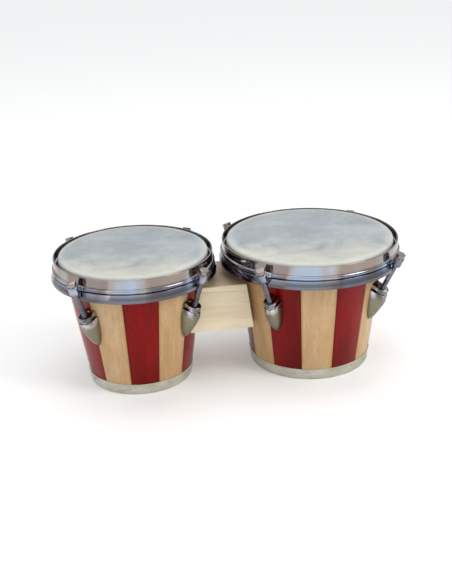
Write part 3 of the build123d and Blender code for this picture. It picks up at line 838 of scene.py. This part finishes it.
def ear_mesh(drum):
    """Bored boss that flows into the rim's wire."""
    bore = EAR_BORE / 2
    outer = EAR_OUTSIDE / 2
    wall = rounded([(bore, 0, 0.4), (outer, 0, 0.8), (outer, EAR_LENGTH, 0.8), (bore, EAR_LENGTH, 0.4)])
    boss = moved(lathe(wall, 48), drum.bolt_frame(EAR_LOW))
    ear = cast(f"{drum.name}_ear", [boss, wire_stub(drum, 10.0)], 0.42, 7)
    drill = moved(plug(bore, -2, EAR_LENGTH + 2, 48), drum.bolt_frame(EAR_LOW))
    return carve(ear, drill, 60.0)


def make_ears(drum):
    mesh = ear_mesh(drum)
    for number, angle in enumerate(drum.lug_angles, start=1):
        piece(f"{drum.name}_ear_{number}", mesh, "chrome", f"{drum.name}_rim_group",
              [f"{drum.name}_ears"], drum.turned(angle))


# ---- Tuning bolts ------------------------------------------------------------------------------
def hex_head(across_flats, low, height):
    """Hexagon with chamfered corners, its washer face below."""
    def ring(scale, z):
        corner = across_flats / 2 / cos(pi / 6) * scale
        points = []
        for side in range(6):
            for turn in (-6, 6):
                angle = radians(60 * side + turn)
                reach = corner * 0.988
                points.append(Vector((reach * cos(angle), reach * sin(angle), z)))
        return points
    top = low + height
    levels = [(0.9, low), (1.0, low + 0.35), (1.0, top - 0.7), (0.94, top - 0.2), (0.8, top), (0.001, top)]
    points = []
    for scale, z in levels:
        points += ring(scale, z)
    faces = grid_faces(len(levels), 12, False, True)
    faces.append(tuple(range(12)))
    return points, faces


def shank(drum, low, high):
    """Shank from tip to head, its lower part cut with a thread. Heights are along its axis."""
    sides = 28
    thread_end = (THREAD_TOP - EAR_LOW) / cos(drum.slant)
    step = THREAD_PITCH / 7
    heights = [low, low]
    z = low + 0.5
    while z < thread_end:
        heights.append(z)
        z += step
    heights += [thread_end + 0.6, high, high]
    points = []
    for row, z in enumerate(heights):
        for side in range(sides):
            angle = tau * side / sides
            phase = (z / THREAD_PITCH - side / sides) % 1.0
            cut = THREAD_DEPTH * min(1.0, 2.4 * abs(phase - 0.5)) if low < z <= thread_end else 0.0
            radius = BOLT / 2 - cut
            if row in (0, len(heights) - 1):
                radius = 0.0
            elif row == 1:
                radius = BOLT / 2 - 0.7
            points.append(Vector((radius * cos(angle), radius * sin(angle), z)))
    return points, grid_faces(len(heights), sides, False, True)


def make_bolts(drum):
    """Hex bolts and their washers, by distance along the bolt from the ear's lower face."""
    seat = EAR_LENGTH + 0.02
    head_seat = seat + WASHER_THICKNESS + 0.02
    tip = (BOLT_END - EAR_LOW) / cos(drum.slant)
    bolt = together([shank(drum, tip, head_seat + 0.5), hex_head(HEX_ACROSS_FLATS, head_seat, HEX_HEIGHT)])
    bolt_mesh = to_mesh(f"{drum.name}_key_bolt", moved(bolt, drum.bolt_frame(EAR_LOW)), 28.0)
    inner = BOLT / 2 + 0.05
    outer = WASHER_OUTSIDE / 2
    top = seat + WASHER_THICKNESS
    section = rounded([(inner, seat, 0.1), (outer, seat, 0.3), (outer, top, 0.4), (inner, top, 0.15)])
    washer = moved(lathe(section, 56), drum.bolt_frame(EAR_LOW))
    washer_mesh = to_mesh(f"{drum.name}_ear_washer", washer, 50.0)
    for number, angle in enumerate(drum.lug_angles, start=1):
        piece(f"{drum.name}_key_bolt_{number}", bolt_mesh, "chrome", f"{drum.name}_bolt_{number}",
              [f"{drum.name}_tuning_bolt_{number}"], drum.turned(angle))
        piece(f"{drum.name}_ear_washer_{number}", washer_mesh, "chrome", f"{drum.name}_washer_{number}",
              [f"{drum.name}_bolt_washer_{number}"], drum.turned(angle))


# ---- Lugs --------------------------------------------------------------------------------------
def hood_section(drum, height, width, reach, tilt, columns=25):
    """D-shaped section of the casting, from the shell outwards and down by the tilt."""
    front = []
    back = []
    for column in range(columns):
        turn = pi * column / (columns - 1)
        across = width / 2 * copysign(abs(cos(turn)) ** 0.8, cos(turn))
        out = reach * max(0.0, sin(turn)) ** 0.8
        for points, along in ((front, out), (back, -0.3)):
            r = drum.outside(height) + along * cos(tilt)
            points.append(Vector((sqrt(r * r - across * across), across, height - along * sin(tilt))))
    return front, back


def hood_shape(drum):
    """Teardrop casting: narrow and thin at its tip, a hood round the bolt at its top."""
    groove = drum.bolt_frame(COLLAR_HEIGHT) @ Vector((0, 0, GROOVE))
    inward = (groove.x - drum.outside(groove.z)) / cos(drum.slant)
    top = groove.z + inward * sin(drum.slant)
    full = inward + NOSE_OUTSIDE / 2
    # Share of the way up, then the width and the reach as shares of their full sizes.
    sections = [(0.0, 0.02, 0.03), (0.03, 0.28, 0.14), (0.08, 0.42, 0.24), (0.16, 0.62, 0.36),
                (0.28, 0.80, 0.50), (0.42, 0.92, 0.64), (0.58, 1.0, 0.79), (0.74, 1.03, 0.91),
                (0.88, 1.02, 0.98), (1.0, 1.0, 1.0)]
    front = []
    back = []
    rows = 36
    for row in range(rows):
        share = row / (rows - 1)
        low, high = next((a, b) for a, b in zip(sections, sections[1:]) if share <= b[0])
        part = (share - low[0]) / (high[0] - low[0])
        width = HOOD_WIDTH * (low[1] + (high[1] - low[1]) * part)
        reach = full * (low[2] + (high[2] - low[2]) * part)
        height = LUG_TIP + (top - LUG_TIP) * share
        row_front, row_back = hood_section(drum, height, width, reach, drum.slant * share)
        front += row_front
        back += row_back
    return front + back, shell_faces(rows, len(front) // rows)


def collar_mesh(drum):
    """Collar above the hood, with a flange that runs back to the shell."""
    half = COLLAR_OUTSIDE / 2
    inward = (drum.bolt_radius(COLLAR_HEIGHT + 4) - drum.outside(COLLAR_HEIGHT + 4)) / cos(drum.slant)
    outline = arc((0, 0), half, 180, 360, 24) + [(half, inward), (-half, inward)]
    slab = moved(prism(outline, COLLAR_LOW, NOSE_TOP), drum.bolt_frame(COLLAR_HEIGHT))

    def soften(holder):
        bevel = holder.modifiers.new("soften", "BEVEL")
        bevel.width = 1.1 * MM
        bevel.segments = 4
        bevel.limit_method = "ANGLE"
        bevel.angle_limit = radians(50)
    return with_modifiers(to_mesh("collar", slab), soften, 40.0)


def lug_mesh(drum):
    """Cast lug: teardrop hood, a neck, and the collar that the bolt enters."""
    axis = drum.bolt_frame(COLLAR_HEIGHT)
    neck_radius = COLLAR_OUTSIDE / 2 - 1.2
    neck = moved(plug(neck_radius, -9, 0.5, 48), axis)
    body = cast(f"{drum.name}_lug", [hood_shape(drum), neck], 0.5, 5)
    drill = moved(plug(BOLT / 2 + LUG_BORE_ROOM, -23, 9, 40), axis)
    body = carve(body, drill, 60.0)
    joined = bmesh.new()
    joined.from_mesh(body)
    joined.from_mesh(carve(collar_mesh(drum), drill, 40.0))
    joined.to_mesh(body)
    joined.free()
    shade(body, 50.0)
    along = Vector((sin(drum.slant), 0, cos(drum.slant)))
    middle = axis.translation.copy()

    def look(p):
        level = (Vector((from_axis(p), 0, p.z)) - middle).dot(along)
        return Vector((0, max(0.0, min(1.0, (-5.5 - level) / 7)), 0))
    set_points(body, "tone", look)
    return body


def make_lugs(drum):
    mesh = lug_mesh(drum)
    for number, angle in enumerate(drum.lug_angles, start=1):
        piece(f"{drum.name}_lug_{number}", mesh, "lug", "drums", [f"{drum.name}_lugs"], drum.turned(angle))


# ---- Fixings inside the shells -----------------------------------------------------------------
def screw_mesh(drum):
    """Pan-headed screw with a cross recess, lying along Z with its point up."""
    seat = WALL * cos(drum.lean) + 1.3
    half = LUG_SCREW / 2 - 0.02
    outline = [(0, -seat - 3.0), (2.0, -seat - 2.95), (3.6, -seat - 2.4), (4.4, -seat - 1.2), (4.5, -seat),
               (half, -seat), (half, 4.0), (half - 0.6, 4.6), (0, 4.6)]
    screw = to_mesh("screw", lathe(outline, 32, closed=False), 40.0)
    bar = [(-2.6, -0.45), (2.6, -0.45), (2.6, 0.45), (-2.6, 0.45)]
    upright = [(y, x) for x, y in bar]
    low = -seat - 4
    high = -seat - 1.4
    cross = carve(screw, prism(bar, low, high))
    return carve(cross, prism(upright, low, high))


def make_screws(drum):
    screw = screw_mesh(drum)
    joined = bmesh.new()
    for height in LUG_SCREW_HEIGHTS:
        for angle in drum.lug_angles:
            place = spin(angle) @ drum.wall_frame(height)
            place.translation *= MM
            copy = screw.copy()
            copy.transform(place)
            joined.from_mesh(copy)
            bpy.data.meshes.remove(copy)
    mesh = bpy.data.meshes.new(f"{drum.name}_shell_screws")
    joined.to_mesh(mesh)
    joined.free()
    shade(mesh, 35.0)
    piece(f"{drum.name}_shell_screws", mesh, "steel", "drums", [f"{drum.name}_lug_screws"], drum.place)


def make_block_bolts(drum):
    """Flanged hex bolts that hold the clamp plate and the block, heads inside the shell."""
    shapes = []
    for height in BLOCK_BOLT_HEIGHTS:
        seat = drum.outside(height) - WALL - PLATE_METAL - 1.9
        head = hex_head(9.0, 0.0, 4.0)
        stem = lathe([(0, 0.5), (3.0, 0.5), (3.0, -33.0), (2.2, -34.0), (0, -34.0)], 28, closed=False)
        flange = lathe(rounded([(3.1, -0.9, 0.1), (5.2, -0.9, 0.3), (5.2, 0.1, 0.2), (3.1, 0.1, 0.1)]), 40)
        bolt = moved(together([head, stem, flange]), Matrix.Rotation(pi, 4, "X"))
        sideways = frame_matrix(Vector((seat, 0, height)), Vector((0, 1, 0)), Vector((1, 0, 0)))
        shapes.append(moved(bolt, spin(drum.block_angle) @ sideways))
    mesh = to_mesh(f"{drum.name}_block_hexes", together(shapes), 30.0)
    piece(f"{drum.name}_block_hexes", mesh, "steel", "drums", [f"{drum.name}_block_bolts"], drum.place)


# ---- Block -------------------------------------------------------------------------------------
def make_block():
    """Block and cap board, with their edges worn round."""
    for node, name, worn in (("block_body", "block_lower", 0.9), ("block_cap", "block_board", 0.8)):
        mesh = frame["nodes"][node].data.copy()
        work = bmesh.new()
        work.from_mesh(mesh)
        bmesh.ops.remove_doubles(work, verts=work.verts, dist=0.003 * MM)
        bmesh.ops.dissolve_limit(work, angle_limit=radians(1.5), verts=work.verts, edges=work.edges)
        work.to_mesh(mesh)
        work.free()

        def wear(holder):
            bevel = holder.modifiers.new("wear", "BEVEL")
            bevel.width = worn * MM
            bevel.segments = 3
            bevel.limit_method = "ANGLE"
            bevel.angle_limit = radians(40)
        made = with_modifiers(mesh, wear, 30.0)
        made.materials.clear()
        piece(name, made, "block", "drums", [node])


def finish_kept_nodes():
    """CAD nodes that are still shown get the same finishes."""
    finish_of_slot = {slot: material for material, slot in FINISHES.values() if material.name != "lug_chrome"}
    for node in frame["nodes"].values():
        if node.hide_render:
            continue
        for holder in node.material_slots:
            holder.material = finish_of_slot[holder.material.name]


# ---- Stage, light and camera -------------------------------------------------------------------
def make_floor():
    """Plain pale floor, a hair below the feet."""
    half = 14.0                # metres
    mesh = bpy.data.meshes.new("floor")
    corners = [(-half, -half, 0), (half, -half, 0), (half, half, 0), (-half, half, 0)]
    mesh.from_pydata(corners, [], [(0, 1, 2, 3)])
    floor = bpy.data.objects.new("floor", mesh)
    floor.location.z = -0.0002
    bpy.context.scene.collection.objects.link(floor)
    g = Graph("floor")
    g.finish(colour=rgb(0.90, 0.90, 0.895), roughness=0.8)
    mesh.materials.append(g.material)


def make_world():
    """Soft pale light from all round, a little bluer and dimmer towards the horizon."""
    world = bpy.data.worlds.new("studio")
    bpy.context.scene.world = world
    world.use_nodes = True
    tree = world.node_tree
    background = tree.nodes["Background"]
    background.inputs["Strength"].default_value = 1.0
    place = tree.nodes.new("ShaderNodeTexCoord")
    height = tree.nodes.new("ShaderNodeSeparateXYZ")
    tree.links.new(place.outputs["Generated"], height.inputs[0])
    sky = tree.nodes.new("ShaderNodeValToRGB")
    tree.links.new(height.outputs[2], sky.inputs["Fac"])
    elements = sky.color_ramp.elements
    elements[0].position, elements[0].color = 0.0, rgb(0.72, 0.78, 0.88)
    elements[1].position, elements[1].color = 0.6, rgb(1.0, 1.0, 1.0)
    tree.links.new(sky.outputs["Color"], background.inputs["Color"])


def area_light(name, place, aim, size, power, colour):
    """Square soft light, in metres and watts, that faces a point."""
    data = bpy.data.lights.new(name, "AREA")
    data.size = size
    data.energy = power
    data.color = colour
    light = bpy.data.objects.new(name, data)
    bpy.context.scene.collection.objects.link(light)
    light.location = place
    light.rotation_mode = "QUATERNION"
    light.rotation_quaternion = (Vector(aim) - Vector(place)).to_track_quat("-Z", "Y")
    light.visible_camera = False


def make_lights():
    middle = (0.0, 0.0, 0.08)
    area_light("key", (1.15, -0.85, 1.2), middle, 0.7, 13.0, (1.0, 0.98, 0.95))
    area_light("fill", (-1.4, -0.9, 0.9), middle, 1.0, 3.0, (0.95, 0.97, 1.0))
    area_light("top", (-0.1, 0.5, 1.9), middle, 1.6, 6.0, (1.0, 1.0, 1.0))


def make_camera():
    """The photograph's angle: above and left of the pair's front, with a slight roll."""
    yaw = radians(9.1)
    pitch = radians(23.24)
    roll = radians(-1.92)
    forward = Vector((sin(yaw) * cos(pitch), cos(yaw) * cos(pitch), -sin(pitch)))
    level = Vector((cos(yaw), -sin(yaw), 0))
    upright = level.cross(forward)
    right = level * cos(roll) + upright * sin(roll)
    up = upright * cos(roll) - level * sin(roll)
    data = bpy.data.cameras.new("camera")
    data.lens = 55.69
    data.clip_start = 0.01
    data.clip_end = 100
    camera = bpy.data.objects.new("camera", data)
    bpy.context.scene.collection.objects.link(camera)
    place = Matrix((right, up, -forward)).transposed().to_4x4()
    place.translation = Vector((-163.1, -994.6, 525.4)) * MM
    camera.matrix_world = place
    bpy.context.scene.camera = camera


# ---- Everything --------------------------------------------------------------------------------
def make_drum(drum, chance):
    make_staves(drum, chance)
    make_foot_band(drum)
    make_tacks(drum)
    make_head(drum)
    make_rim(drum)
    make_ears(drum)
    make_bolts(drum)
    make_lugs(drum)
    make_screws(drum)
    make_block_bolts(drum)


dice = random.Random(SEED)
for each_drum in (SMALL, LARGE):
    make_drum(each_drum, dice)
make_block()
finish_kept_nodes()
make_floor()
make_world()
make_lights()
make_camera()
bpy.context.scene.view_settings.view_transform = "Standard"
